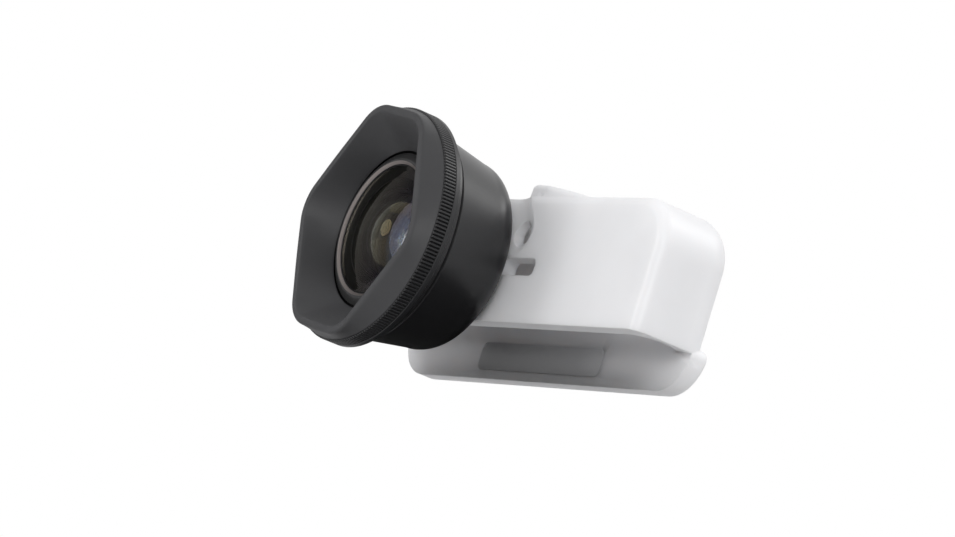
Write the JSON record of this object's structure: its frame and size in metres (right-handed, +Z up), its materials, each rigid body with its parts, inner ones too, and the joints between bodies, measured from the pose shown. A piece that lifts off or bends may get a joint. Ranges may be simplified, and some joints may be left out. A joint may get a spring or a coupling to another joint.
{
  "type": "wide-angle conversion lens",
  "caption": "Clip-on wide-angle conversion lens: black lens unit with a rounded hexagonal hood and a ribbed grip, screwed to a white clip that slides over a phone's top edge.",
  "frame": {"origin": "middle of the closed end of the clip's pocket, where the phone's top edge comes to rest", "axes": "+X to the right as seen from the lens side, along the phone's width; +Y to the back of the phone; +Z up, out of the closed end of the pocket"},
  "size_m": [0.0702, 0.0312, 0.034],
  "materials": {
    "clip_plastic": "smooth satin white",
    "pad_rubber": "soft matte grey",
    "insert_steel": "turned",
    "washer_plastic": "matte black",
    "barrel_metal": "satin black",
    "inner_metal": "matte black",
    "screw_steel": "blackened",
    "coated_glass": "clear with a green and amber coating",
    "bronze_edge_metal": "dark bronze, bright on the bevel",
    "seal_rubber": "matte black",
    "hood_metal": "fine blasted matte dark grey",
    "grip_metal": "satin black, finely ribbed"
  },
  "bodies": {
    "clip": {"clip_shell": "clip_plastic", "rear_pad": "pad_rubber", "mount_insert": "insert_steel"},
    "washer": {"seat_washer": "washer_plastic"},
    "lens": {"mount_ring": "barrel_metal", "barrel_shell": "barrel_metal", "lens_cell": "inner_metal", "cell_screws": "screw_steel", "front_element": "coated_glass", "front_retaining_ring": "bronze_edge_metal", "front_seal_ring": "seal_rubber", "spacer_ring": "inner_metal", "second_element": "coated_glass", "doublet_crown": "coated_glass", "doublet_flint": "coated_glass", "baffle_ring": "inner_metal", "rear_retaining_ring": "inner_metal", "hood_friction_ring": "seal_rubber"},
    "hood": {"hood_body": "hood_metal", "grip_ring": "grip_metal"}
  },
  "joints": [
    {"name": "lens_lift", "type": "slide", "parent": "clip", "child": "washer", "axis": [0, -1, 0], "range_m": [0, 0.0022]},
    {"name": "lens_turn", "type": "hinge", "parent": "washer", "child": "lens", "pos_m": [-0.011, -0.00615, -0.0087], "axis": [0, -1, 0], "range_deg": [0, 1008]},
    {"name": "hood_turn", "type": "hinge", "parent": "lens", "child": "hood", "pos_m": [-0.011, -0.00615, -0.0087], "axis": [0, -1, 0], "continuous": true}
  ],
  "couplings": [
    {"joint": "lens_lift", "follows": "lens_turn", "m_per_rad": 0.00011937}
  ]
}
